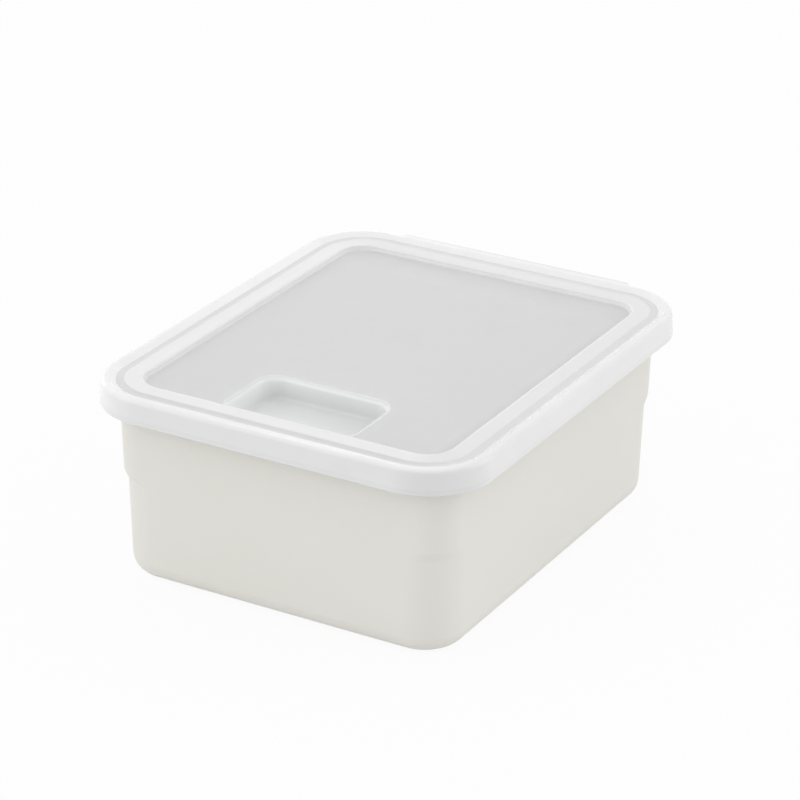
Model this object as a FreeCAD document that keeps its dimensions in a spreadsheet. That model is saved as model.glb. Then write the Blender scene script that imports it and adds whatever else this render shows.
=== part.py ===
"""Lidded food storage box: a drafted box with a folded rim, and a one-piece frosted lid that drops over it.

The box stands on its foot. The origin is the middle of the foot, X runs across the width, Y from the finger
recess at the front (-Y) to the lifting lip at the back (+Y), and Z is up. Lengths are millimetres.

Both mouldings are drawn outwards and inwards from one plan, the seal line: the rounded rectangle along which
the lid's groove rests on the rim of the box."""

import FreeCAD
import Part
import Sketcher
import math
import os

SIZES = [
    # The seal line, shared by box and lid
    ("seal_width", 164.0),
    ("seal_depth", 199.6),
    ("seal_corner", 21.5),
    # Box: height to the top of the rim, walls and draft
    ("rim_height", 85.4),
    ("wall", 1.8),
    ("floor", 2.2),
    ("wall_top_inset", 2.15),
    ("wall_foot_inset", 4.0),
    ("foot_fillet", 8.0),
    # Box: corner ledges, where the corners of the lower zone are rounder than those above
    ("ledge_height", 43.6),
    ("ledge_rise", 3.8),
    ("upper_corner", 14.2),
    ("lower_corner", 18.5),
    # Box: rim, a flange with its edge turned down
    ("flange_thickness", 1.8),
    ("flange_reach", 5.2),
    ("rim_drop", 5.4),
    ("rim_wall", 1.4),
    ("rim_rounding", 0.9),
    ("mouth_rounding", 0.7),
    # Box: the foot ring round the hollow underside
    ("foot_ring", 6.0),
    ("foot_hollow", 0.6),
    # Lid: section of the moulding
    ("lid_wall", 1.5),
    ("groove_floor", 2.4),
    ("groove_side", 1.1),
    ("groove_depth", 1.6),
    ("groove_rounding", 0.45),
    ("rim_clearance", 0.5),
    ("skirt_flare", 0.8),
    ("skirt_below_rim", 8.0),
    ("skirt_rounding_share", 0.33),
    ("bead_side", 2.7),
    ("bead_under_side", 1.2),
    ("bead_rounding", 0.6),
    ("shoulder_radius", 2.7),
    ("shoulder_inner_radius", 0.9),
    ("band_drop", 1.2),
    ("band_reach", 10.2),
    ("band_rounding", 0.7),
    ("panel_drop", 3.0),
    ("panel_side", 0.4),
    ("panel_rounding", 0.8),
    ("panel_overlap", 2.0),
    # Lid: finger recess in the panel
    ("recess_width", 59.2),
    ("recess_length", 34.7),
    ("recess_front_land", 0.1),
    ("recess_depth", 9.0),
    ("recess_side", 1.3),
    ("recess_back_corner", 8.5),
    ("recess_front_corner", 3.6),
    ("recess_edge_rounding", 2.2),
    ("recess_floor_rounding", 1.6),
    # Lid: lifting lip along the back edge
    ("lip_length", 112.0),
    ("lip_overhang", 2.85),
    ("lip_root_inset", 1.4),
    ("lip_drop", 0.8),
    ("lip_end_run", 3.0),
    ("lip_corner", 2.0),
    ("lip_rounding_share", 0.4),
    # How far a cut runs past the face that it opens
    ("overrun", 1.0),
]

doc = FreeCAD.newDocument("storage_box")
sheet = doc.addObject("Spreadsheet::Sheet", "Sizes")
for row, (alias, number) in enumerate(SIZES, start=1):
    sheet.set(f"A{row}", alias)
    sheet.set(f"B{row}", str(number))
    sheet.setAlias(f"B{row}", alias)
doc.recompute()

HALF_WIDTH = "Sizes.seal_width / 2"
HALF_DEPTH = "Sizes.seal_depth / 2"
LID_TOP = "(Sizes.rim_height + Sizes.lid_wall + Sizes.groove_depth)"
BAND_TOP = f"({LID_TOP} - Sizes.band_drop)"
PANEL_TOP = f"({LID_TOP} - Sizes.panel_drop)"
PANEL_EDGE = "(Sizes.band_reach + Sizes.panel_side)"
SKIRT_TOP = "(Sizes.flange_reach + Sizes.rim_clearance + Sizes.lid_wall)"
POINT_START = 1
POINT_END = POINT_START + 1
ORIGIN = (-1, 1)
SAME_PLACE = 1e-4


def value(expression):
    """The number that an expression in sheet sizes gives now."""
    return float(sheet.evalExpression(expression))


def new_body(label):
    """An empty body, named as the file it is written to."""
    body = doc.addObject("PartDesign::Body", label)
    body.Label = label
    return body


def new_sketch(body, name, role, offset):
    """A sketch on one of the body's own origin planes, moved along the plane's normal by an expression."""
    sketch = body.newObject("Sketcher::SketchObject", name)
    plane = next(f for f in body.Origin.OriginFeatures if f.Role == role)
    sketch.AttachmentSupport = [(plane, "")]
    sketch.MapMode = "FlatFace"
    sketch.setExpression("AttachmentOffset.Base.z", offset)
    return sketch


def bind(sketch, constraint, name, expression):
    """Adds a dimension whose value follows the sheet."""
    index = sketch.addConstraint(constraint)
    sketch.renameConstraint(index, name)
    sketch.setExpression(f"Constraints.{name}", expression)


def place(sketch, geometry, position, name, across, along):
    """Ties one point to two expressions, measured from the sketch's origin."""
    for axis, expression in (("X", across), ("Y", along)):
        ends = (*ORIGIN, geometry, position, value(expression))
        bind(sketch, Sketcher.Constraint("Distance" + axis, *ends), name + axis.lower(), expression)


def outline(body, name, role, offset, corners):
    """A closed outline of straight runs through corners of (across, along, rounding or None) expressions.

    A rounded corner keeps its sharp point as a marker on both runs, and an arc tangent to them."""
    sketch = new_sketch(body, name, role, offset)
    count = len(corners)
    points = [FreeCAD.Vector(value(x), value(y), 0) for x, y, _ in corners]
    starts, ends, arcs = [], [], []
    for i, (_, _, rounding) in enumerate(corners):
        towards_last = (points[i - 1] - points[i]).normalize()
        towards_next = (points[(i + 1) % count] - points[i]).normalize()
        if rounding is None:
            starts.append(points[i])
            ends.append(points[i])
            arcs.append(None)
            continue
        radius = value(rounding)
        half_angle = towards_last.getAngle(towards_next) / 2
        reach = radius / math.tan(half_angle)
        middle = (towards_last + towards_next).normalize() * (radius / math.sin(half_angle))
        ends.append(points[i] + towards_last * reach)
        starts.append(points[i] + towards_next * reach)
        arcs.append((points[i] + middle, radius))
    lines = [
        sketch.addGeometry(Part.LineSegment(starts[i], ends[(i + 1) % count]), False)
        for i in range(count)
    ]
    for i, (across, along, rounding) in enumerate(corners):
        before, after = lines[i - 1], lines[i]
        if rounding is None:
            joined = Sketcher.Constraint("Coincident", before, POINT_END, after, POINT_START)
            sketch.addConstraint(joined)
            place(sketch, after, POINT_START, f"corner{i}", across, along)
            continue
        marker = sketch.addGeometry(Part.Point(points[i]), True)
        place(sketch, marker, POINT_START, f"corner{i}", across, along)
        for line in (before, after):
            sketch.addConstraint(Sketcher.Constraint("PointOnObject", marker, POINT_START, line))
        middle, radius = arcs[i]
        turn_left = (points[i] - ends[i]).cross(starts[i] - points[i]).z > 0
        first, last = (ends[i], starts[i]) if turn_left else (starts[i], ends[i])
        angles = [math.atan2(p.y - middle.y, p.x - middle.x) for p in (first, last)]
        circle = Part.Circle(middle, FreeCAD.Vector(0, 0, 1), radius)
        arc = sketch.addGeometry(Part.ArcOfCircle(circle, *angles), False)
        meets, leaves = (POINT_START, POINT_END) if turn_left else (POINT_END, POINT_START)
        sketch.addConstraint(Sketcher.Constraint("Tangent", before, POINT_END, arc, meets))
        sketch.addConstraint(Sketcher.Constraint("Tangent", arc, leaves, after, POINT_START))
        bind(sketch, Sketcher.Constraint("Radius", arc, radius), f"rounding{i}", rounding)
    return sketch


def plan(body, name, level, reach, corner):
    """A level rounded rectangle that stands outside the seal line by reach."""
    half_x, half_y = f"({HALF_WIDTH} + {reach})", f"({HALF_DEPTH} + {reach})"
    corners = [
        (half_x, half_y, corner),
        (f"-{half_x}", half_y, corner),
        (f"-{half_x}", f"-{half_y}", corner),
        (half_x, f"-{half_y}", corner),
    ]
    return outline(body, name, "XY_Plane", level, corners)


def pad(body, name, sketch, length):
    """Material from the sketch upwards."""
    feature = body.newObject("PartDesign::Pad", name)
    feature.Profile = sketch
    feature.setExpression("Length", length)
    return feature


def pocket(body, name, sketch, length):
    """A cut from the sketch upwards."""
    feature = body.newObject("PartDesign::Pocket", name)
    feature.Profile = sketch
    feature.Reversed = True
    feature.setExpression("Length", length)
    return feature


def loft(body, name, kind, sections):
    """Straight walls from each section to the next, added or cut away."""
    feature = body.newObject(f"PartDesign::{kind}Loft", name)
    feature.Profile = sections[0]
    feature.Sections = sections[1:]
    feature.Ruled = True
    return feature


def round_edges(body, name, radius, chosen):
    """A fillet on those edges of the body so far that the test picks."""
    doc.recompute()
    base = body.Tip
    names = [f"Edge{i}" for i, edge in enumerate(base.Shape.Edges, start=1) if chosen(edge)]
    feature = body.newObject("PartDesign::Fillet", name)
    feature.Base = (base, names)
    feature.setExpression("Radius", radius)
    return feature


def level_at(expression):
    """Tests whether an edge lies in the level plane that an expression gives."""
    height = value(expression)

    def chosen(edge):
        """Whether the whole edge is at that height."""
        return max(abs(edge.BoundBox.ZMin - height), abs(edge.BoundBox.ZMax - height)) < SAME_PLACE

    return chosen


def distance_outside_seal(edge):
    """How far the middle of an edge lies outside the seal line, seen from above."""
    point = edge.valueAt(sum(edge.ParameterRange) / 2)
    corner = value("Sizes.seal_corner")
    across = abs(point.x) - value(HALF_WIDTH) + corner
    along = abs(point.y) - value(HALF_DEPTH) + corner
    outside = math.hypot(max(across, 0), max(along, 0))
    return outside + min(max(across, along), 0) - corner


def box():
    """The box: drafted walls with corner ledges, a rounded foot, and the folded rim that carries the lid."""
    body = new_body("box")
    rim_foot = "Sizes.rim_height - Sizes.rim_drop"
    rim_corner = "(Sizes.seal_corner + Sizes.flange_reach)"
    outside = plan(body, "RimOutside", rim_foot, "Sizes.flange_reach", rim_corner)
    pad(body, "Rim", outside, "Sizes.rim_drop")
    inner_reach = "Sizes.flange_reach - Sizes.rim_wall"
    inside = plan(body, "RimInside", rim_foot, inner_reach, f"({rim_corner} - Sizes.rim_wall)")
    pocket(body, "RimFold", inside, "Sizes.rim_drop - Sizes.flange_thickness")

    ledge_top = "Sizes.ledge_height + Sizes.ledge_rise"
    draft = "(Sizes.wall_foot_inset - Sizes.wall_top_inset) / Sizes.rim_height"

    def wall_sections(name, levels, inset):
        """Plans of the wall at each level, drawn in from the drafted outside by an inset."""
        return [
            plan(
                body,
                f"{name}{i}",
                level,
                f"(({level}) * {draft} - Sizes.wall_foot_inset - {inset})",
                f"({corner} - {inset})",
            )
            for i, (level, corner) in enumerate(levels)
        ]

    round_corner, tight_corner = "Sizes.lower_corner", "Sizes.upper_corner"
    ledge = [("Sizes.ledge_height", round_corner), (ledge_top, tight_corner)]
    outer = [("0", round_corner), *ledge, ("Sizes.rim_height", tight_corner)]
    loft(body, "Walls", "Additive", wall_sections("WallOutside", outer, "0"))
    mouth = "Sizes.rim_height + Sizes.overrun"
    inner = [("Sizes.floor", round_corner), *ledge, (mouth, tight_corner)]
    loft(body, "Inside", "Subtractive", wall_sections("WallInside", inner, "Sizes.wall"))
    round_edges(body, "FloorRounding", "Sizes.foot_fillet - Sizes.wall", level_at("Sizes.floor"))
    round_edges(body, "FootRounding", "Sizes.foot_fillet", level_at("0"))

    on_top = level_at("Sizes.rim_height")

    def mouth_edge(edge):
        """Whether an edge of the rim's top face is on the inside."""
        return on_top(edge) and distance_outside_seal(edge) < 0

    def rim_edge(edge):
        """Whether an edge of the rim's top face is on the outside."""
        return on_top(edge) and distance_outside_seal(edge) > 0

    round_edges(body, "MouthRounding", "Sizes.mouth_rounding", mouth_edge)
    round_edges(body, "RimRounding", "Sizes.rim_rounding", rim_edge)
    hollow_inset = "(-Sizes.wall_foot_inset - Sizes.foot_fillet - Sizes.foot_ring)"
    hollow_corner = "(Sizes.lower_corner - Sizes.foot_fillet)"
    hollow = plan(body, "FootHollowPlan", "0", hollow_inset, hollow_corner)
    pocket(body, "FootHollow", hollow, "Sizes.foot_hollow")
    return body


def lid_section(body):
    """The moulded section of the lid, from the foot of the skirt over the bead, groove and band to the panel.

    It is drawn at the back of the seal line, with the outside and top first and the underside after."""
    skin = "Sizes.lid_wall"
    under = f"({LID_TOP} - {skin})"
    band_under = f"({BAND_TOP} - {skin})"
    panel_under = f"({PANEL_TOP} - {skin})"
    groove_top = f"({LID_TOP} - Sizes.groove_depth)"
    half_floor = "Sizes.groove_floor / 2"
    half_top = f"({half_floor} + Sizes.groove_side)"
    bead_inside = f"({half_floor} + Sizes.bead_side)"
    groove_rounding = "Sizes.groove_rounding"
    skirt_foot = "Sizes.rim_height - Sizes.skirt_below_rim"
    skirt_reach = f"({SKIRT_TOP} + Sizes.skirt_flare)"
    skirt_rounding = f"{skin} * Sizes.skirt_rounding_share"
    inner_end = f"({PANEL_EDGE} + Sizes.panel_overlap)"
    corners = [
        (skirt_reach, skirt_foot, skirt_rounding),
        (SKIRT_TOP, LID_TOP, "Sizes.shoulder_radius"),
        (bead_inside, LID_TOP, "Sizes.bead_rounding"),
        (half_floor, groove_top, groove_rounding),
        (f"-{half_floor}", groove_top, groove_rounding),
        (f"-{half_top}", BAND_TOP, groove_rounding),
        ("-Sizes.band_reach", BAND_TOP, "Sizes.band_rounding"),
        (f"-{PANEL_EDGE}", PANEL_TOP, "Sizes.panel_rounding"),
        (f"-{inner_end}", PANEL_TOP, None),
        (f"-{inner_end}", panel_under, None),
        (f"-({PANEL_EDGE} - {skin})", panel_under, None),
        (f"-(Sizes.band_reach - {skin})", band_under, None),
        (f"-({half_top} + {skin})", band_under, None),
        (f"-({half_floor} + {skin})", "Sizes.rim_height", None),
        (f"({half_floor} + {skin})", "Sizes.rim_height", None),
        (f"({half_floor} + {skin} + Sizes.bead_under_side)", under, None),
        (f"({SKIRT_TOP} - {skin})", under, "Sizes.shoulder_inner_radius"),
        (f"({skirt_reach} - {skin})", skirt_foot, skirt_rounding),
    ]
    drawn = [(f"({HALF_DEPTH} + {across})", along, rounding) for across, along, rounding in corners]
    plane_offset = f"{HALF_WIDTH} - Sizes.seal_corner"
    return outline(body, "LidSection", "YZ_Plane", plane_offset, drawn)


def recess_plan(body, name, level, grown):
    """The finger recess at one level, grown all round from its mouth in the panel.

    Its front edge leaves a land beside the roundings of the panel's edge and of its own mouth."""
    half_x = f"(Sizes.recess_width / 2 + {grown})"
    roundings = "(Sizes.panel_rounding + Sizes.recess_edge_rounding)"
    front_wall = f"({HALF_DEPTH} - {PANEL_EDGE} - {roundings} - Sizes.recess_front_land)"
    front = f"-({front_wall} + {grown})"
    back = f"-({front_wall} - Sizes.recess_length - {grown})"
    back_corner = f"(Sizes.recess_back_corner + {grown})"
    front_corner = f"(Sizes.recess_front_corner + {grown})"
    corners = [
        (half_x, back, back_corner),
        (f"-{half_x}", back, back_corner),
        (f"-{half_x}", front, front_corner),
        (half_x, front, front_corner),
    ]
    return outline(body, name, "XY_Plane", level, corners)


def lid():
    """The lid: a thin moulding with skirt, edge bead, seal groove, sunk panel, finger recess and lip."""
    body = new_body("lid")
    lip_root = f"({HALF_DEPTH} + {SKIRT_TOP} - Sizes.lip_root_inset)"
    lip_edge = f"({HALF_DEPTH} + {SKIRT_TOP} + Sizes.lip_overhang)"
    lip_half = "Sizes.lip_length / 2"
    lip_corners = [
        (f"({lip_half} + Sizes.lip_end_run)", lip_root, None),
        (lip_half, lip_edge, "Sizes.lip_corner"),
        (f"-{lip_half}", lip_edge, "Sizes.lip_corner"),
        (f"-({lip_half} + Sizes.lip_end_run)", lip_root, None),
    ]
    lip_under = f"{LID_TOP} - Sizes.lip_drop - Sizes.lid_wall"
    lip_plan = outline(body, "LipPlan", "XY_Plane", lip_under, lip_corners)
    pad(body, "Lip", lip_plan, "Sizes.lid_wall")
    root = value(lip_root)

    def lip_rim(edge):
        """Whether a level edge of the lip lies clear of its root."""
        level = edge.BoundBox.ZLength < SAME_PLACE
        return level and edge.BoundBox.YMax - root > SAME_PLACE

    round_edges(body, "LipRounding", "Sizes.lid_wall * Sizes.lip_rounding_share", lip_rim)

    path = plan(body, "SealLine", "Sizes.rim_height", "0", "Sizes.seal_corner")
    rim = body.newObject("PartDesign::AdditivePipe", "RimSweep")
    rim.Profile = lid_section(body)
    rim.Spine = (path, [])
    panel_reach = f"(-{PANEL_EDGE} - Sizes.panel_overlap / 2)"
    panel_under = f"({PANEL_TOP} - Sizes.lid_wall)"
    panel_plan = plan(body, "PanelPlan", panel_under, panel_reach, f"(Sizes.seal_corner + {panel_reach})")
    pad(body, "Panel", panel_plan, "Sizes.lid_wall")

    recess_floor = f"({PANEL_TOP} - Sizes.recess_depth)"
    tub_foot = f"({recess_floor} - Sizes.lid_wall)"
    tub = [
        recess_plan(body, "TubFoot", tub_foot, "(Sizes.lid_wall - Sizes.recess_side)"),
        recess_plan(body, "TubTop", PANEL_TOP, "Sizes.lid_wall"),
    ]
    loft(body, "Tub", "Additive", tub)
    tub_rounding = "Sizes.recess_floor_rounding + Sizes.lid_wall"
    round_edges(body, "TubRounding", tub_rounding, level_at(tub_foot))
    hollow = [
        recess_plan(body, "RecessFloor", recess_floor, "(-Sizes.recess_side)"),
        recess_plan(body, "RecessTop", PANEL_TOP, "0"),
    ]
    loft(body, "Recess", "Subtractive", hollow)
    round_edges(body, "RecessFloorRounding", "Sizes.recess_floor_rounding", level_at(recess_floor))
    at_panel = level_at(PANEL_TOP)
    mouth = hollow[-1].Shape.BoundBox
    mouth.enlarge(SAME_PLACE)

    def recess_rim(edge):
        """Whether an edge at the level of the panel belongs to the mouth of the recess."""
        return at_panel(edge) and mouth.isInside(edge.BoundBox)

    round_edges(body, "RecessEdge", "Sizes.recess_edge_rounding", recess_rim)
    return body


parts = [box(), lid()]
doc.recompute()
for feature in doc.Objects:
    faults = {"Invalid", "Error"} & set(feature.State)
    if faults:
        raise RuntimeError(f"{feature.Name} is {', '.join(faults)}")
for part in parts:
    shape = part.Shape
    if shape.isNull() or not shape.isValid() or len(shape.Solids) != 1:
        raise RuntimeError(f"{part.Label} has no valid single solid")

os.makedirs("parts", exist_ok=True)
for part in parts:
    part.Shape.exportStep(f"parts/{part.Label}.step")
    print(part.Label, round(part.Shape.Volume), part.Shape.optimalBoundingBox(False))
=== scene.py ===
"""Looks of the lidded food storage box: an ivory box, and a frosted lid that drops over its rim.

Both mouldings are closed surfaces of rings. A ring is a rounded rectangle round the box, and a profile says
how far each ring stands outside the seal line and how high it lies. Lengths are in millimetres until a mesh
is made.
"""

import math

import bpy
import numpy as np
from mathutils import Matrix, Vector


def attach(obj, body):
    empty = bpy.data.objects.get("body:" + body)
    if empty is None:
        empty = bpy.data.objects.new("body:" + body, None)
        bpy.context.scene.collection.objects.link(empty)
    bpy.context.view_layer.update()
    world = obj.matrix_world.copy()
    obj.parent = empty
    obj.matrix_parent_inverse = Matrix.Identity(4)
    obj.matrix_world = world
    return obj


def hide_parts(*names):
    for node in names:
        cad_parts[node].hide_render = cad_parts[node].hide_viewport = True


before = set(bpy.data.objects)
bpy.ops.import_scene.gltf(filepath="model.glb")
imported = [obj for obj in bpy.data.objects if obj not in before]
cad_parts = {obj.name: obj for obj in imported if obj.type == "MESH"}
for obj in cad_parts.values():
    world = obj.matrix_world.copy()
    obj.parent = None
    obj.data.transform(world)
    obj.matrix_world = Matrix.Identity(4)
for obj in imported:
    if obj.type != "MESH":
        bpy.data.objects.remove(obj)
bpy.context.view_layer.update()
MM = 0.001

# The seal line: half sizes and corner of the rounded rectangle where the lid rests on the rim
SEAL_HALF = np.array([82.0, 99.8])
SEAL_CORNER = 21.5

# Box
RIM_HEIGHT = 85.4
WALL, FLOOR = 1.8, 2.2
WALL_TOP_INSET, WALL_FOOT_INSET, FOOT_FILLET = 2.15, 4.0, 8.0
LEDGE_HEIGHT, LEDGE_RISE, UPPER_CORNER, LOWER_CORNER = 43.6, 3.8, 14.2, 18.5
LEDGE_MARGIN, LEDGE_CLEAR, LEDGE_STEPS = 1.2, 8.0, 25
FLANGE_THICKNESS, FLANGE_REACH, RIM_DROP, RIM_WALL = 1.8, 5.2, 5.4, 1.4
RIM_ROUNDING, MOUTH_ROUNDING, FOLD_ROUNDING, HEM_ROUNDING = 0.9, 0.7, 0.4, 0.3
MOUTH_DEPTH, INNER_WALL_DROP, WALL_START = 4.0, 6.0, 1.0
FOOT_RING, FOOT_HOLLOW = 6.0, 0.6

# Lid
LID_WALL = 1.5
GROOVE_HALF_FLOOR, GROOVE_SIDE, GROOVE_DEPTH, GROOVE_ROUNDING = 1.2, 1.1, 1.6, 0.45
BEAD_SIDE, BEAD_UNDER_SIDE, BEAD_ROUNDING = 2.7, 1.2, 0.6
SKIRT_TOP, SKIRT_FLARE, SKIRT_BELOW_RIM, SKIRT_ROUNDING = 7.2, 0.8, 8.0, 0.495
SHOULDER_RADIUS, SHOULDER_INNER_RADIUS, SHOULDER_DEPTH, HEM = 2.7, 0.9, 4.4, 2.4
BAND_DROP, BAND_REACH, BAND_ROUNDING = 1.2, 10.2, 0.7
PANEL_DROP, PANEL_SIDE, PANEL_ROUNDING, UNDER_ROUNDING = 3.0, 0.4, 0.8, 0.2
LID_TOP = RIM_HEIGHT + LID_WALL + GROOVE_DEPTH
BAND_TOP, PANEL_TOP = LID_TOP - BAND_DROP, LID_TOP - PANEL_DROP
GROOVE_HALF_TOP, PANEL_EDGE = GROOVE_HALF_FLOOR + GROOVE_SIDE, BAND_REACH + PANEL_SIDE
BEAD_INSIDE, SKIRT_FOOT = GROOVE_HALF_FLOOR + BEAD_SIDE, RIM_HEIGHT - SKIRT_BELOW_RIM
SKIRT_HEIGHT = LID_TOP - SKIRT_FOOT

# Finger recess: half width, front and back edges of its mouth, and the tub that it makes below the panel
RECESS_HALF, RECESS_FRONT, RECESS_BACK = 29.6, -86.1, -51.4
RECESS_DEPTH, RECESS_SIDE = 9.0, 1.3
RECESS_BACK_CORNER, RECESS_FRONT_CORNER = 8.5, 3.6
RECESS_EDGE_ROUNDING, RECESS_FLOOR_ROUNDING, TUB_EDGE_ROUNDING = 2.2, 1.6, 0.3

# Lifting lip along the back edge
LIP_HALF, LIP_OVERHANG, LIP_DROP, LIP_ROUNDING = 56.0, 2.85, 0.8, 0.6
LIP_ROOT_ROUNDING, LIP_UNDER_ROUNDING, LIP_UNDER_SHARE = 1.2, 0.4, 0.2
LIP_END_IN, LIP_END_OUT = 1.0, 3.0
LIP_END_STATIONS = np.linspace(-3.0, 3.5, 27)

# Flat margins beside an edge, which end in a ring that holds the painted light and shade or the material copy
# there
PANEL_MARGIN, PANEL_SLOT_MARGIN, PANEL_UNDER_MARGIN = 0.95, 0.97, 1.0
BAND_EDGE_MARGIN, BAND_PLAIN_MARGIN = 0.65, 0.8
BEAD_MARGIN, SHOULDER_MARGIN = 0.4, 0.45
RECESS_FLOOR_MARGIN, RECESS_MOUTH_MARGIN = 1.9, 2.1
TUB_FLOOR_MARGIN, TUB_MOUTH_MARGIN = 3.0, 0.8
HEM_STEP, HEM_INSET = 0.1, 0.002
GUARD_STEP = 0.15

CORNER_STEPS, SIDE_STEPS, ARC_STEPS, SHOULDER_STEPS = 28, 36, 7, 44
SHARP_ANGLE = math.radians(40)

# The lid's copies of its one frosted plastic, which differ by place in colour, see-through and coat as
# painted light and shade, by their place among its materials, and its runs of rings in order, each with its
# copy
RIM, PANEL, RECESS, STEP = range(4)
RUN_MATERIAL_COPY = {
    "floor": RECESS, "recess": RECESS, "panel": PANEL, "top": RIM, "shoulder": RIM, "skirt": RIM,
    "below": PANEL, "tub": RECESS, "tub_floor": RECESS,
}

# Painted light and shade: shares of a material copy's colour, darker in the groove, on the step, on the skirt
# and deep in the recess, lighter on some edges, with what a surface gains or loses by the side that it faces
BAND_PAINTED_SHADE, BAND_LEFT_GAIN, BAND_FRONT_GAIN, BAND_FAR_LOSS, BAND_CORNER_LOSS = 0.90, 0.035, 0.025, 0.02, 0.09
GROOVE_PAINTED_SHADE, GROOVE_FRONT_LOSS, GROOVE_LEFT_GAIN = 0.855, 0.043, 0.02
STEP_FOOT_PAINTED_SHADE, STEP_TOP_PAINTED_SHADE, STEP_EDGE_PAINTED_SHADE, BAND_EDGE_PAINTED_SHADE, STEP_BACK_SHARE = 0.87, 0.88, 0.87, 0.90, 1.03
BEAD_RIGHT_LOSS, PANEL_FAR_PAINTED_SHADE = 0.06, 0.96
SKIRT_ALONG_LOSS, SKIRT_RIGHT_LOSS, SKIRT_LEFT_LOSS = 0.16, 0.12, 0.03
SKIRT_RIGHT_CORNER_LOSS, SKIRT_LEFT_CORNER_LOSS = 0.20, 0.02
RECESS_PAINTED_LIGHT_DEPTHS = (0.0, 0.4, 0.7, 1.4, 2.2, 3.0, 7.0, 9.0)
RECESS_PAINTED_LIGHT_AND_SHADE = (0.86, 0.86, 1.0, 1.0, 0.94, 0.87, 0.86, 0.89)
RECESS_LEFT_GAIN, RECESS_BACK_LOSS = 0.22, 0.03
HEM_PAINTED_SHADE = np.array([0.965, 0.97, 0.98])

# Where the painted light and shade and the material copies begin and end
GROOVE_MARGIN, LEVEL_MARGIN, SHOULDER_PAINTED_SHADE_MARGIN, BEAD_PAINTED_SHADE_DEPTH = 0.1, 0.01, 0.6, 2.0
STEP_EDGE_DEPTHS, BAND_EDGE_DEPTH, FACES_BACK = (0.1, 0.5), 0.1, 0.8
PANEL_FADE_START, PANEL_FADE_LENGTH, PANEL_FADE_SLANT = (-72.0, -90.0), 70.0, 0.25
SKIRT_FALL_DEPTHS, RIGHT_FALL_DEPTHS, RIGHT_FALL_START = (0.2, 1.6), (0.0, 1.2), 0.5
RECESS_WALL_DEPTHS = (1.0, 2.0, 6.0, 8.4)


def round_the_box():
    """Stations once round a rounded rectangle, anticlockwise from the right-hand side.

    Each has a place on the core rectangle, from -1 to 1 across and along, and an outward normal. On a corner
    the place stays and the normal turns by equal steps. On a side the normal stays and the place moves, with
    extra stations on the back where the lip ends."""
    run = np.linspace(-1.0, 1.0, SIDE_STEPS + 1)
    lip_end = (LIP_HALF + LIP_END_STATIONS) / (SEAL_HALF[0] - SEAL_CORNER)
    back_run = np.unique(np.concatenate([run, lip_end, -lip_end]).round(6))
    turn = np.linspace(0.0, math.pi / 2, CORNER_STEPS + 1)[1:-1]
    places, angles = [], []
    sides = (
        (np.stack([np.ones_like(run), run], 1), 0.0),
        (np.stack([-back_run, np.ones_like(back_run)], 1), math.pi / 2),
        (np.stack([-np.ones_like(run), -run], 1), math.pi),
        (np.stack([run, -np.ones_like(run)], 1), 1.5 * math.pi),
    )
    for side, angle in sides:
        places += [side, np.repeat(side[-1:], len(turn), 0)]
        angles += [np.full(len(side), angle), angle + turn]
    place, angle = np.concatenate(places), np.concatenate(angles)
    return place, np.stack([np.cos(angle), np.sin(angle)], 1)


PLACE, NORMAL = round_the_box()


def rounded_rectangles(half, corner, middle=(0.0, 0.0)):
    """One ring for each corner radius: core rectangle times place, plus the radius times the normal.

    half is (rings, 2). corner is (rings,) or (rings, stations), so that a radius may change along a ring."""
    half = np.asarray(half, float)[:, None, :]
    corner = np.asarray(corner, float)
    corner = (corner[:, None] if corner.ndim == 1 else corner)[:, :, None]
    return np.asarray(middle) + (half - corner) * PLACE + corner * NORMAL


def rounded_run(corners):
    """A profile through corners of (out, up, rounding): each rounding becomes an arc tangent to both runs.

    The arc's middle lies on the bisector at rounding / sin(half the angle), and its ends lie on the runs at
    rounding / tan(half the angle). Short guard steps beside each arc keep the runs flat where they are
    shaded."""
    points = np.array([c[:2] for c in corners], float)
    pieces = []
    for i, (_, _, rounding) in enumerate(corners):
        here = points[i]
        if not rounding:
            pieces.append(here[None])
            continue
        to_last, to_next = points[i - 1] - here, points[i + 1] - here
        to_last, to_next = to_last / np.linalg.norm(to_last), to_next / np.linalg.norm(to_next)
        half = math.acos(np.clip(to_last @ to_next, -1, 1)) / 2
        bisector = (to_last + to_next) / np.linalg.norm(to_last + to_next)
        middle = here + bisector * rounding / math.sin(half)
        first = here + to_last * rounding / math.tan(half) - middle
        last = here + to_next * rounding / math.tan(half) - middle
        share = np.linspace(0.0, 1.0, ARC_STEPS + 1)[:, None]
        swing = math.pi - 2 * half
        arc = middle + (np.sin((1 - share) * swing) * first + np.sin(share * swing) * last) / math.sin(swing)
        guard = min(GUARD_STEP, rounding / 4)
        pieces += [arc[:1] + to_last * guard, arc, arc[-1:] + to_next * guard]
    return np.concatenate(pieces)


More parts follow.
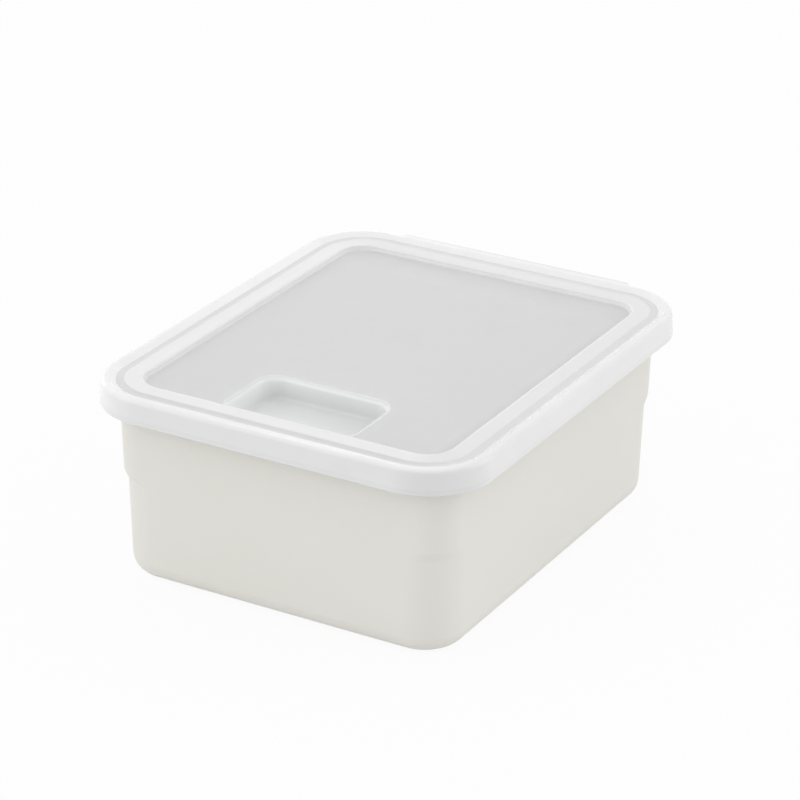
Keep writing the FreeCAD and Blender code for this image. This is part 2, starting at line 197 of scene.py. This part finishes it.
def closed_surface(name, rings, materials, material_slot=None, painted_light=None):
    """A closed mesh of rings (rings, stations, 3): quads between neighbours, and a fan to a pole at each end.

    The material slots give each ring's place in materials, and a quad takes the higher of its two rings'
    places. The painted light and shade gives each point a colour (rings, stations, 3) that the material
    multiplies its own by."""
    count, around = rings.shape[:2]
    poles = np.stack([rings[0].mean(0), rings[-1].mean(0)])
    points = np.concatenate([rings.reshape(-1, 3), poles]) * MM
    index = np.arange(count * around).reshape(count, around)
    onward = np.roll(index, -1, 1)
    quads = np.stack([index[:-1], onward[:-1], onward[1:], index[1:]], -1).reshape(-1, 4)
    first, last = count * around, count * around + 1
    fan = np.stack([np.full(around, first), onward[0], index[0]], 1)
    end_fan = np.stack([np.full(around, last), index[-1], onward[-1]], 1)
    corners = points[np.concatenate([fan, end_fan, quads[:, :3], quads[:, [0, 2, 3]]])]
    volume = np.einsum("ij,ij->i", corners[:, 0], np.cross(corners[:, 1], corners[:, 2])).sum()
    order = 1 if volume > 0 else -1
    mesh = bpy.data.meshes.new(name)
    faces = [*quads[:, ::order].tolist(), *fan[:, ::order].tolist(), *end_fan[:, ::order].tolist()]
    mesh.from_pydata(points.tolist(), [], faces)
    mesh.update()
    mesh.shade_smooth()
    mesh.set_sharp_from_angle(angle=SHARP_ANGLE)
    for material in materials:
        mesh.materials.append(material)
    if material_slot is not None:
        quad_slot = np.repeat(np.maximum(material_slot[:-1], material_slot[1:]), around)
        fans = np.repeat(material_slot[[0, -1]], around)
        mesh.polygons.foreach_set("material_index", np.concatenate([quad_slot, fans]).astype(np.int32))
    # Each point's painted light and shade, kept as a colour attribute
    if painted_light is not None:
        ends = painted_light[[0, -1]].mean(1)
        colours = np.column_stack([np.concatenate([painted_light.reshape(-1, 3), ends]), np.ones(len(points))])
        mesh.attributes.new("painted_light", "FLOAT_COLOR", "POINT").data.foreach_set("color", colours.ravel())
    piece = bpy.data.objects.new(name, mesh)
    bpy.context.scene.collection.objects.link(piece)
    return piece


def lift(flat, up):
    """Rings with their heights: (rings, stations, 2) and (rings,) to (rings, stations, 3)."""
    heights = np.broadcast_to(np.asarray(up, float)[:, None, None], (*flat.shape[:2], 1))
    return np.concatenate([flat, heights], 2)


def box_rings():
    """The box from the middle of its underside, up the outside, over the folded rim and down the inside.

    The walls lean out with height, and their corner radius changes from the lower to the upper one across the
    ledge. Elsewhere a ring's corner follows how far it stands from the wall."""
    lean = (WALL_FOOT_INSET - WALL_TOP_INSET) / RIM_HEIGHT
    ledge_top = LEDGE_HEIGHT + LEDGE_RISE
    smallest_corner = 0.5

    def wall_line(up, inset):
        """How far the wall stands outside the seal line at a height, and its corner there."""
        rise = np.clip((up - LEDGE_HEIGHT) / LEDGE_RISE, 0.0, 1.0)
        corner = LOWER_CORNER + (UPPER_CORNER - LOWER_CORNER) * rise
        return up * lean - WALL_FOOT_INSET - inset, corner - inset

    def wall_run(low, high, inset):
        """Profile rows (out, up, corner) up a wall, with close steps at the ledge.

        A running mean of five rows softens the change of corner."""
        ledge = LEDGE_HEIGHT + np.linspace(-LEDGE_MARGIN, LEDGE_RISE + LEDGE_MARGIN, LEDGE_STEPS)
        below = [low, low + WALL_START, LEDGE_HEIGHT - LEDGE_CLEAR]
        up = np.concatenate([below, ledge, [ledge_top + LEDGE_CLEAR, high]])
        out, corner = wall_line(up, inset)
        soft = np.convolve(np.pad(corner, 2, "edge"), np.full(5, 1 / 5), "valid")
        return np.stack([out, up, soft], 1)

    def fillet_run(floor_up, inset, rounding, far):
        """Profile rows from a floor into the wall above it."""
        high = floor_up + 2 * rounding
        out, corner = wall_line(floor_up, inset)
        top, _ = wall_line(high, inset)
        run = rounded_run([(out - far, floor_up, 0), (out, floor_up, rounding), (top, high, 0)])[:-1]
        straight, _ = wall_line(run[:, 1], inset)
        return np.column_stack([run, corner + run[:, 0] - straight])

    outside = fillet_run(0.0, 0.0, FOOT_FILLET, FOOT_FILLET + FOOT_RING)
    hollow = outside[:1] + np.array([[0.0, FOOT_HOLLOW, 0.0]])
    under, hem, mouth = RIM_HEIGHT - FLANGE_THICKNESS, RIM_HEIGHT - RIM_DROP, -WALL_TOP_INSET - WALL
    walls = wall_run(outside[-1, 1] + WALL_START, under, 0.0)
    wall_top = walls[-1, 0]
    rim = rounded_run([
        (wall_top, under, 0),
        (FLANGE_REACH - RIM_WALL, under, FOLD_ROUNDING),
        (FLANGE_REACH - RIM_WALL, hem, HEM_ROUNDING),
        (FLANGE_REACH, hem, HEM_ROUNDING),
        (FLANGE_REACH, RIM_HEIGHT, RIM_ROUNDING),
        (mouth, RIM_HEIGHT, MOUTH_ROUNDING),
        (mouth - lean * MOUTH_DEPTH, RIM_HEIGHT - MOUTH_DEPTH, 0),
    ])[1:]
    share = (rim[:, :1] - wall_top) / (FLANGE_REACH - wall_top)
    rim_corner = UPPER_CORNER + (SEAL_CORNER + FLANGE_REACH - UPPER_CORNER) * np.clip(share, 0, 1)
    mouth_share = np.clip((rim[:, :1] - wall_top) / WALL, -1, 0)
    rim = np.column_stack([rim, rim_corner + mouth_share * WALL])
    inner_fillet = fillet_run(FLOOR, WALL, FOOT_FILLET - WALL, 2 * FOOT_FILLET)[::-1]
    inner_walls = wall_run(inner_fillet[0, 1] + WALL_START, RIM_HEIGHT - INNER_WALL_DROP, WALL)[::-1]
    profile = np.concatenate([hollow, outside, walls, rim, inner_walls, inner_fillet])
    flat = rounded_rectangles(SEAL_HALF + profile[:, :1], np.maximum(profile[:, 2], smallest_corner))
    rings = lift(flat, profile[:, 1])
    shrink = np.linspace(0.0, 1.0, 7)[1:-1, None, None] ** np.array([1, 1, 0])
    return np.concatenate([rings[:1] * shrink, rings, (rings[-1:] * shrink)[::-1]])


def recess_rings(profile):
    """Rings of the finger recess, grown from its mouth by the profile's first column.

    Its back corners are rounder than its front ones, so the radius runs evenly along its sides."""
    middle = np.array([0.0, (RECESS_FRONT + RECESS_BACK) / 2])
    half = np.array([RECESS_HALF, (RECESS_BACK - RECESS_FRONT) / 2])
    mean = (RECESS_BACK_CORNER + RECESS_FRONT_CORNER) / 2
    swing = (RECESS_BACK_CORNER - RECESS_FRONT_CORNER) / 2
    smallest_corner = 0.3
    corner = np.maximum(mean + swing * PLACE[:, 1] + profile[:, :1], smallest_corner)
    return lift(rounded_rectangles(half + profile[:, :1], corner, middle), profile[:, 1])


def towards(point, ring, shares):
    """Rings that shrink a flat ring towards a point, by each share."""
    return point + (ring - point) * np.asarray(shares)[:, None, None]


def even_steps(run, count):
    """A profile resampled to equal steps along its length."""
    length = np.concatenate([[0.0], np.cumsum(np.linalg.norm(np.diff(run, axis=0), axis=1))])
    share = np.linspace(0.0, length[-1], count)
    return np.stack([np.interp(share, length, column) for column in run.T], 1)


def sweep(run):
    """Rings of a profile carried round the seal line."""
    return lift(rounded_rectangles(SEAL_HALF + run[:, :1], SEAL_CORNER + run[:, 0]), run[:, 1])


def shoulder_rings(turn):
    """The shoulder, from beside the bead down to the point turn on the skirt, with the lip along the back.

    The lip is the shoulder drawn out: where it stands, each ring moves from the shoulder's profile to the
    lip's by a weight that falls from 1 to 0 across the lip's ends, as 3 w^2 - 2 w^3."""
    start = BEAD_INSIDE + SHOULDER_MARGIN, LID_TOP
    plain = rounded_run([(*start, 0), (SKIRT_TOP, LID_TOP, SHOULDER_RADIUS), (*turn, 0)])
    lip_edge, lip_top = SKIRT_TOP + LIP_OVERHANG, LID_TOP - LIP_DROP
    fall = math.acos(1 - LIP_DROP / SHOULDER_RADIUS)
    flat_end = SKIRT_TOP - SHOULDER_RADIUS
    lipped = rounded_run([
        (*start, 0),
        (flat_end + SHOULDER_RADIUS * math.tan(fall / 2), LID_TOP, LIP_ROOT_ROUNDING),
        (flat_end + SHOULDER_RADIUS * math.sin(fall), lip_top, LIP_ROOT_ROUNDING),
        (lip_edge, lip_top, LIP_ROUNDING),
        (lip_edge, lip_top - LID_WALL, LIP_ROUNDING),
        (SKIRT_TOP + SKIRT_FLARE * LIP_UNDER_SHARE, lip_top - LID_WALL, LIP_UNDER_ROUNDING),
        (*turn, 0),
    ])
    plain, lipped = (sweep(even_steps(run, SHOULDER_STEPS)) for run in (plain, lipped))
    end = (np.abs(plain[:1, :, :1]) - LIP_HALF + LIP_END_IN) / (LIP_END_IN + LIP_END_OUT)
    straight_back = NORMAL[None, :, 1:] > 0.999
    weight = np.clip(1.0 - end, 0.0, 1.0) * straight_back
    return plain + (lipped - plain) * weight * weight * (3 - 2 * weight)


def lid_runs():
    """The lid's runs of rings by name, which together lead from the middle of the recess floor, out over the
    panel, band, groove, bead and shoulder, down the skirt and back below to the middle of the tub."""
    under, band_under, panel_under = LID_TOP - LID_WALL, BAND_TOP - LID_WALL, PANEL_TOP - LID_WALL
    groove_top, skirt_reach = LID_TOP - GROOVE_DEPTH, SKIRT_TOP + SKIRT_FLARE
    top = sweep(rounded_run([
        (-PANEL_EDGE - PANEL_SLOT_MARGIN, PANEL_TOP, 0),
        (-PANEL_EDGE - PANEL_MARGIN, PANEL_TOP, 0),
        (-PANEL_EDGE, PANEL_TOP, PANEL_ROUNDING),
        (-BAND_REACH, BAND_TOP, BAND_ROUNDING),
        (-BAND_REACH + BAND_PLAIN_MARGIN, BAND_TOP, 0),
        (-GROOVE_HALF_TOP, BAND_TOP, GROOVE_ROUNDING),
        (-GROOVE_HALF_FLOOR, groove_top, GROOVE_ROUNDING),
        (GROOVE_HALF_FLOOR, groove_top, GROOVE_ROUNDING),
        (BEAD_INSIDE, LID_TOP, BEAD_ROUNDING),
        (BEAD_INSIDE + BEAD_MARGIN, LID_TOP, 0),
    ]))
    turn = SKIRT_TOP + SKIRT_FLARE * SHOULDER_DEPTH / SKIRT_HEIGHT, LID_TOP - SHOULDER_DEPTH
    hem_out, hem_up = SKIRT_TOP + SKIRT_FLARE * (1 - HEM / SKIRT_HEIGHT), SKIRT_FOOT + HEM
    skirt = sweep(rounded_run([
        (*turn, 0),
        (hem_out - HEM_INSET, hem_up + HEM_STEP, 0),
        (hem_out, hem_up - HEM_STEP, 0),
        (skirt_reach, SKIRT_FOOT, SKIRT_ROUNDING),
        (skirt_reach - LID_WALL, SKIRT_FOOT, SKIRT_ROUNDING),
        (SKIRT_TOP - LID_WALL, under, SHOULDER_INNER_RADIUS),
        (GROOVE_HALF_FLOOR + LID_WALL + BEAD_UNDER_SIDE, under, UNDER_ROUNDING),
        (GROOVE_HALF_FLOOR + LID_WALL, RIM_HEIGHT, UNDER_ROUNDING),
        (-GROOVE_HALF_FLOOR - LID_WALL, RIM_HEIGHT, UNDER_ROUNDING),
        (-GROOVE_HALF_TOP - LID_WALL, band_under, UNDER_ROUNDING),
        (LID_WALL - BAND_REACH, band_under, UNDER_ROUNDING),
        (LID_WALL - PANEL_EDGE, panel_under, UNDER_ROUNDING),
        (-PANEL_EDGE - PANEL_UNDER_MARGIN, panel_under, 0),
    ])[1:])
    floor_up = PANEL_TOP - RECESS_DEPTH
    recess = recess_rings(rounded_run([
        (-RECESS_SIDE - RECESS_FLOOR_MARGIN, floor_up, 0),
        (-RECESS_SIDE, floor_up, RECESS_FLOOR_ROUNDING),
        (0.0, PANEL_TOP, RECESS_EDGE_ROUNDING),
        (RECESS_MOUTH_MARGIN, PANEL_TOP, 0),
    ]))
    tub_foot, tub_up = LID_WALL - RECESS_SIDE, floor_up - LID_WALL
    tub = recess_rings(rounded_run([
        (LID_WALL + TUB_MOUTH_MARGIN, panel_under, 0),
        (LID_WALL - RECESS_SIDE * LID_WALL / RECESS_DEPTH, panel_under, TUB_EDGE_ROUNDING),
        (tub_foot, tub_up, RECESS_FLOOR_ROUNDING + LID_WALL),
        (tub_foot - TUB_FLOOR_MARGIN, tub_up, 0),
    ]))
    shares = np.linspace(0.0, 1.0, 9)[1:-1]
    return {
        "floor": towards(recess[0].mean(0), recess[0], shares),
        "recess": recess,
        "panel": towards(recess[-1], top[0], shares),
        "top": top,
        "shoulder": shoulder_rings(turn),
        "skirt": skirt,
        "below": towards(skirt[-1], tub[0], shares),
        "tub": tub,
        "tub_floor": towards(tub[-1].mean(0), tub[-1], shares[::-1]),
    }


def lid_looks(runs):
    """All the lid's rings in order, the material copy of each ring and the painted light and shade of each
    point.

    The groove and the step from band to panel have the step's copy. The painted light and shade starts at 1.
    On the band, bead, groove, step and skirt it is a share, plus or minus powers of how far the surface faces
    front, right, left and back, as painted shade by the side the light falls on. On the panel it falls evenly
    from the left, as painted light, and in the recess it follows the depth, as painted shade deeper in with a
    painted highlight on the mouth's edge."""
    counts = [len(runs[name]) for name in RUN_MATERIAL_COPY]
    rings = np.concatenate([runs[name] for name in RUN_MATERIAL_COPY])
    run = np.repeat(list(RUN_MATERIAL_COPY), counts)
    material_slot = np.repeat(list(RUN_MATERIAL_COPY.values()), counts)
    painted_light = np.ones(rings.shape)
    out, up = rings[:, 0, 0] - SEAL_HALF[0], rings[:, 0, 2]
    right, back = np.clip(NORMAL, 0, 1).T
    left, front = np.clip(-NORMAL, 0, 1).T
    along, near_side = front + back, np.clip(front + right, 0, 1) ** 2

    on_top, in_recess = run == "top", (run == "recess") | (run == "floor")
    groove = on_top & (out > -GROOVE_HALF_TOP - GROOVE_MARGIN) & (out < GROOVE_HALF_FLOOR)
    step = on_top & (out < -BAND_REACH + BAND_EDGE_MARGIN)
    # The groove, the step and the panel's and recess's edges take the copies that render them lighter or
    # darker: painted light and shade
    material_slot[groove | step] = STEP
    material_slot[on_top & (out < -PANEL_EDGE - (PANEL_MARGIN + PANEL_SLOT_MARGIN) / 2)] = PANEL
    material_slot[in_recess & (up > PANEL_TOP - LEVEL_MARGIN)] = PANEL
    step &= material_slot == STEP
    in_recess &= material_slot == RECESS

    # Painted shade on the band: darker overall, lighter facing left and front, darker facing right, back and
    # at the front-right corner
    band = BAND_PAINTED_SHADE + BAND_LEFT_GAIN * left ** 2 + BAND_FRONT_GAIN * front ** 4
    band -= BAND_FAR_LOSS * (right ** 2 + back ** 2) + BAND_CORNER_LOSS * front * right
    painted_light[on_top & (out < -GROOVE_HALF_TOP)] = band[:, None]
    # Painted shade on the bead where it faces right
    bead = (out > GROOVE_HALF_FLOOR) & (up > LID_TOP - BEAD_PAINTED_SHADE_DEPTH)
    painted_light[bead] *= (1 - BEAD_RIGHT_LOSS * right ** 3)[:, None]
    # Painted shade in the groove, darker at the front and lighter at the left
    painted_light[groove] = (GROOVE_PAINTED_SHADE - GROOVE_FRONT_LOSS * front ** 2 + GROOVE_LEFT_GAIN * left ** 2)[:, None]

    # Painted shade on the step from band to panel, a little lighter facing back, with a painted highlight
    # along its upper edge on the near sides and a painted dark line on the far sides
    rise = np.interp(up[step], [PANEL_TOP, BAND_TOP], [STEP_FOOT_PAINTED_SHADE, STEP_TOP_PAINTED_SHADE])
    painted_light[step] = rise[:, None, None]
    painted_light[np.ix_(step, back > FACES_BACK)] *= STEP_BACK_SHARE
    below_band = BAND_TOP - up
    step_edge = (below_band > STEP_EDGE_DEPTHS[0]) & (below_band < STEP_EDGE_DEPTHS[1])
    painted_light[step & step_edge] = (STEP_EDGE_PAINTED_SHADE + (1 - STEP_EDGE_PAINTED_SHADE) * near_side)[:, None]
    painted_light[step & (below_band < BAND_EDGE_DEPTH)] = (BAND_EDGE_PAINTED_SHADE + (1 - BAND_EDGE_PAINTED_SHADE) * near_side)[:, None]

    # Painted light on the panel: lightest near the left, falling evenly away from it
    panel = run == "panel"
    across, inwards = np.moveaxis(rings[panel, :, :2] - PANEL_FADE_START, 2, 0)
    from_left = (across + PANEL_FADE_SLANT * inwards) / PANEL_FADE_LENGTH
    painted_light[panel] = np.interp(from_left, [0, 1], [1.0, PANEL_FAR_PAINTED_SHADE])[:, :, None]

    # Painted shade on the shoulder and skirt: darker by how far they face front, back, left and right, most
    # at the front-right corner
    outer = ((run == "skirt") | (run == "shoulder")) & (out > SKIRT_TOP - LID_WALL - SHOULDER_PAINTED_SHADE_MARGIN)
    facing = SKIRT_ALONG_LOSS * along ** 4 + SKIRT_LEFT_LOSS * left ** 3
    facing += along * (SKIRT_RIGHT_CORNER_LOSS * right + SKIRT_LEFT_CORNER_LOSS * left)
    below_top = LID_TOP - up[outer, None]
    fall = np.interp(below_top, SKIRT_FALL_DEPTHS, [0, 1])
    right_fall = np.interp(below_top, RIGHT_FALL_DEPTHS, [RIGHT_FALL_START, 1])
    painted_light[outer] = (1 - fall * facing - right_fall * SKIRT_RIGHT_LOSS * right ** 3)[:, :, None]
    # Painted shade along the skirt's foot: a cooler, darker strip where the gap behind the skirt is in shade
    hem = (out > SKIRT_TOP - LID_WALL) & (up < SKIRT_FOOT + HEM)
    painted_light[hem] *= HEM_PAINTED_SHADE

    # In the recess: a painted highlight on the mouth's edge, painted shade deeper in and on the back wall,
    # painted light on the left wall
    depth = PANEL_TOP - up[in_recess, None]
    on_wall = np.interp(depth, RECESS_WALL_DEPTHS, [0, 1, 1, 0])
    sides = 1 + on_wall * (RECESS_LEFT_GAIN * left ** 2 - RECESS_BACK_LOSS * back ** 4)
    painted_light[in_recess] *= (np.interp(depth, RECESS_PAINTED_LIGHT_DEPTHS, RECESS_PAINTED_LIGHT_AND_SHADE) * sides)[:, :, None]
    return rings, material_slot, np.minimum(painted_light, 1)


def new_material(name):
    """A material with its nodes, its link maker and its shader."""
    material = bpy.data.materials.new(name)
    material.use_nodes = True
    tree = material.node_tree
    return material, tree.nodes, tree.links.new, tree.nodes["Principled BSDF"]


def noise(nodes, link, scale, detail, stretch=(1, 1, 1)):
    """Noise on object coordinates, stretched by a mapping."""
    place = nodes.new("ShaderNodeTexCoord")
    mapping = nodes.new("ShaderNodeMapping")
    mapping.inputs["Scale"].default_value = stretch
    texture = nodes.new("ShaderNodeTexNoise")
    texture.inputs["Scale"].default_value = scale
    texture.inputs["Detail"].default_value = detail
    link(place.outputs["Object"], mapping.inputs["Vector"])
    link(mapping.outputs["Vector"], texture.inputs["Vector"])
    return texture.outputs["Fac"]


def ramp(nodes, link, factor, low, high, start=0.3, end=0.7):
    """A colour or grey that runs from low to high as the factor goes from start to end."""
    stops = nodes.new("ShaderNodeValToRGB")
    stops.color_ramp.elements[0].position = start
    stops.color_ramp.elements[1].position = end
    stops.color_ramp.elements[0].color = low
    stops.color_ramp.elements[1].color = high
    link(factor, stops.inputs["Fac"])
    return stops.outputs["Color"]


def bump(nodes, link, height, strength, distance):
    """A bumped normal."""
    node = nodes.new("ShaderNodeBump")
    node.inputs["Strength"].default_value = strength
    node.inputs["Distance"].default_value = distance
    link(height, node.inputs["Height"])
    return node.outputs["Normal"]


def grey(level):
    """A neutral colour."""
    return (level, level, level, 1.0)


def ivory_satin():
    """Ivory polypropylene with a fine spark-eroded mould texture and faint flow shading."""
    material, nodes, link, shader = new_material("ivory_satin")
    dull, bright = (0.775, 0.765, 0.715, 1), (0.795, 0.785, 0.738, 1)
    flow = noise(nodes, link, 9.0, 3.0, (1.0, 1.0, 2.2))
    link(ramp(nodes, link, flow, dull, bright), shader.inputs["Base Color"])
    grain = noise(nodes, link, 1500.0, 2.0)
    link(ramp(nodes, link, grain, grey(0.40), grey(0.52)), shader.inputs["Roughness"])
    link(bump(nodes, link, grain, 0.12, 0.0001), shader.inputs["Normal"])
    shader.inputs["IOR"].default_value = 1.49
    return material


def frosted_clear(name, colour, rough, transmission, subsurface, specular, coat):
    """Frosted natural polypropylene: milky, partly see-through, its colour and roughness faintly clouded.

    The clouds' colour is multiplied by each point's painted light and shade, which makes places lighter or
    darker where light falls or shade gathers."""
    material, nodes, link, shader = new_material(name)
    cloud = noise(nodes, link, 60.0, 4.0, (1.0, 0.7, 1.0))
    dull, bright = ((*(channel * share for channel in colour), 1) for share in (0.97, 1.0))
    # Reads each point's painted light and shade from the mesh
    painted_light = nodes.new("ShaderNodeAttribute")
    painted_light.attribute_name = "painted_light"
    painted_colour = nodes.new("ShaderNodeVectorMath")
    painted_colour.operation = "MULTIPLY"
    link(ramp(nodes, link, cloud, dull, bright), painted_colour.inputs[0])
    link(painted_light.outputs["Color"], painted_colour.inputs[1])
    link(painted_colour.outputs["Vector"], shader.inputs["Base Color"])
    link(ramp(nodes, link, cloud, grey(rough), grey(rough + 0.05)), shader.inputs["Roughness"])
    levels = {
        "Transmission Weight": transmission, "Subsurface Weight": subsurface, "Specular IOR Level": specular,
        "Coat Weight": coat, "Coat Roughness": 0.08, "IOR": 1.49,
        "Subsurface Radius": (1.0, 1.0, 1.0), "Subsurface Scale": 0.0015,
    }
    for socket, level in levels.items():
        shader.inputs[socket].default_value = level
    return material


box = closed_surface("box_moulding", box_rings(), [ivory_satin()])
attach(box, "box")
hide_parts("box")

# The lid's shape, the material copy of each ring and the painted light and shade of each point
lid_shape, lid_material_slot, lid_painted_light = lid_looks(lid_runs())
# Four copies of one frosted plastic: their colours, see-through and coat differ only so that rim, panel,
# recess and step render lighter or darker, which is painted light and shade
lid_shaded_copies = [
    frosted_clear("frosted_rim", (0.98, 0.98, 0.98), 0.35, 0.03, 0.2, 0.1, 0.8),
    frosted_clear("frosted_panel", (0.998, 0.998, 0.998), 0.45, 0.26, 1.0, 0.15, 0.05),
    frosted_clear("frosted_recess", (0.955, 0.97, 0.965), 0.35, 0.05, 0.3, 0.1, 0.8),
    frosted_clear("frosted_step", (0.985, 0.985, 0.985), 0.45, 0.05, 0.3, 0.15, 0.1),
]
lid = closed_surface("lid_moulding", lid_shape, lid_shaded_copies, lid_material_slot, lid_painted_light)
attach(lid, "lid")
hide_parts("lid")


def seen_rays(nodes, link):
    """1 for rays that show a thing to the camera, straight, mirrored or through the lid, and 0 for light."""
    path = nodes.new("ShaderNodeLightPath")
    total = path.outputs["Is Camera Ray"]
    for name in ("Is Glossy Ray", "Is Transmission Ray"):
        either = nodes.new("ShaderNodeMath")
        either.operation = "MAXIMUM"
        link(total, either.inputs[0])
        link(path.outputs[name], either.inputs[1])
        total = either.outputs["Value"]
    return total


def pale_floor():
    """A pale floor that shows nearly white to the camera and keeps a soft part of the object's shadow."""
    half, level, white_share = 3.0, -0.0002, 0.92
    mesh = bpy.data.meshes.new("floor")
    around = [(-half, -half), (half, -half), (half, half), (-half, half)]
    mesh.from_pydata([(*corner, level) for corner in around], [], [(0, 1, 2, 3)])
    material, nodes, link, shader = new_material("pale_floor")
    shader.inputs["Base Color"].default_value = grey(0.9)
    shader.inputs["Roughness"].default_value = 0.9
    shader.inputs["Specular IOR Level"].default_value = 0.0
    white = nodes.new("ShaderNodeEmission")
    white.inputs["Strength"].default_value = 1.0
    share = nodes.new("ShaderNodeMath")
    share.operation = "MULTIPLY"
    share.inputs[1].default_value = white_share
    mix = nodes.new("ShaderNodeMixShader")
    link(seen_rays(nodes, link), share.inputs[0])
    link(share.outputs["Value"], mix.inputs["Fac"])
    link(shader.outputs["BSDF"], mix.inputs[1])
    link(white.outputs["Emission"], mix.inputs[2])
    link(mix.outputs["Shader"], nodes["Material Output"].inputs["Surface"])
    mesh.materials.append(material)
    floor = bpy.data.objects.new("floor", mesh)
    bpy.context.scene.collection.objects.link(floor)


def soft_world(level):
    """An even white surround that lights softly and shows as white behind the object."""
    world = bpy.data.worlds.new("surround")
    bpy.context.scene.world = world
    world.use_nodes = True
    nodes, link = world.node_tree.nodes, world.node_tree.links.new
    background = nodes["Background"]
    background.inputs["Color"].default_value = grey(1.0)
    seen = nodes.new("ShaderNodeMapRange")
    seen.inputs["To Min"].default_value = level
    seen.inputs["To Max"].default_value = 1.0
    link(seen_rays(nodes, link), seen.inputs["Value"])
    link(seen.outputs["Result"], background.inputs["Strength"])


def softbox(name, place, aim, size, power):
    """A square area lamp at a place, turned towards a point."""
    light = bpy.data.lights.new(name, "AREA")
    light.shape = "SQUARE"
    light.size = size
    light.energy = power
    lamp = bpy.data.objects.new(name, light)
    lamp.location = place
    lamp.rotation_euler = (Vector(aim) - Vector(place)).to_track_quat("-Z", "Y").to_euler()
    bpy.context.scene.collection.objects.link(lamp)


def photo_camera():
    """The camera at the photograph's angle: azimuth, elevation, roll, distance and focal length in pixels."""
    azimuth, elevation, roll = (math.radians(a) for a in (29.5495, 24.4718, 0.6211))
    distance, aside, above, focal = 1441.9, -3.518, -55.145, 3335.69
    picture_width = 800
    level = Vector((math.cos(azimuth), math.sin(azimuth), 0.0))
    towards_camera = Vector((math.sin(azimuth), -math.cos(azimuth), 0.0)) * math.cos(elevation)
    back = towards_camera + Vector((0.0, 0.0, math.sin(elevation)))
    upright = back.cross(level)
    right = math.cos(roll) * level + math.sin(roll) * upright
    up = math.cos(roll) * upright - math.sin(roll) * level
    data = bpy.data.cameras.new("camera")
    data.sensor_width = 36.0
    data.lens = focal * data.sensor_width / picture_width
    data.clip_end = 20.0
    camera = bpy.data.objects.new("camera", data)
    place = (back * distance - right * aside - up * above) * MM
    turn = Matrix((right, up, back)).transposed()
    camera.matrix_world = Matrix.Translation(place) @ turn.to_4x4()
    bpy.context.scene.collection.objects.link(camera)
    bpy.context.scene.camera = camera


bpy.context.scene.view_settings.view_transform = "Standard"
pale_floor()
soft_world(0.83)
softbox("left_light", (-1.2, -1.2, 0.6), (0, 0, 0.05), 1.2, 5.0)
softbox("right_light", (1.4, 0.8, 0.6), (0, 0, 0.05), 1.2, 4.5)
softbox("side_light", (-1.65, 0.6, 0.22), (0, 0, 0.06), 0.6, 2.5)
softbox("top_light", (-0.76, -0.15, 1.51), (0, 0, 0.08), 0.12, 0.3)
softbox("high_back_light", (-0.76, 1.02, 1.12), (0, 0, 0.08), 0.12, 0.15)
softbox("back_light", (0.05, 1.4, 1.0), (0, 0, 0.08), 0.4, 0.25)
softbox("low_back_light", (-0.75, 1.3, 0.3), (0, 0, 0.08), 0.25, 0.35)
photo_camera()
